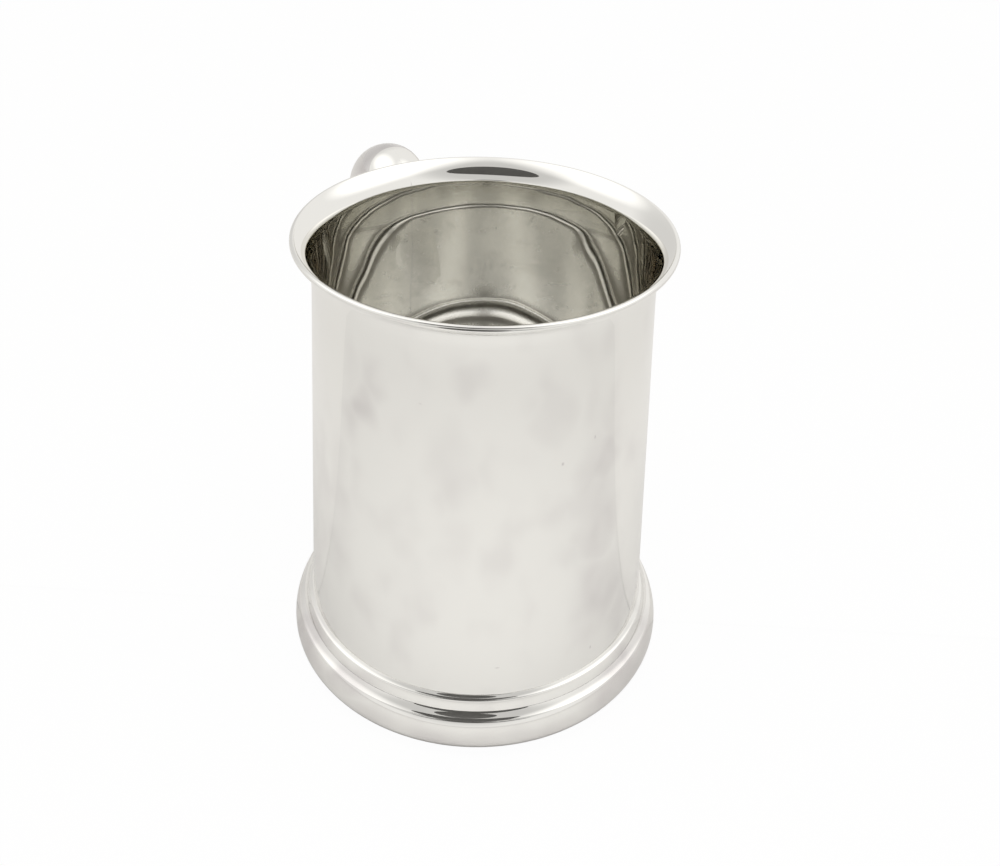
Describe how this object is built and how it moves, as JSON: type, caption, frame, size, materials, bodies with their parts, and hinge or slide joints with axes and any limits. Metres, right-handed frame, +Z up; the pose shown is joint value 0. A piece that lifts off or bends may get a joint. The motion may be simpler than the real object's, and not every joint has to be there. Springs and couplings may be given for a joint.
{
  "type": "tankard",
  "caption": "Lidless drinking tankard in polished silver: slightly tapered body, flared wired lip, stepped moulded foot and a hollow scroll handle.",
  "frame": {"origin": "on the axis of the body, on the table that the foot stands on", "axes": "+Z up along the axis of the body, +X out along the handle, +Y to the handle's left seen from above"},
  "size_m": [0.1366, 0.0998, 0.12],
  "materials": {
    "polished_silver": "mirror polish with fine wiping marks and small dents",
    "floor_silver": "soft polish, slightly tarnished"
  },
  "bodies": {
    "root": {"body_wall": "polished_silver", "rim_wire": "polished_silver", "base_plate": "floor_silver", "foot_band": "polished_silver", "foot_ring": "polished_silver", "upper_handle_pad": "polished_silver", "lower_handle_pad": "polished_silver", "handle_left_shell": "polished_silver", "handle_right_shell": "polished_silver", "handle_tail_cap": "polished_silver"}
  },
  "joints": []
}
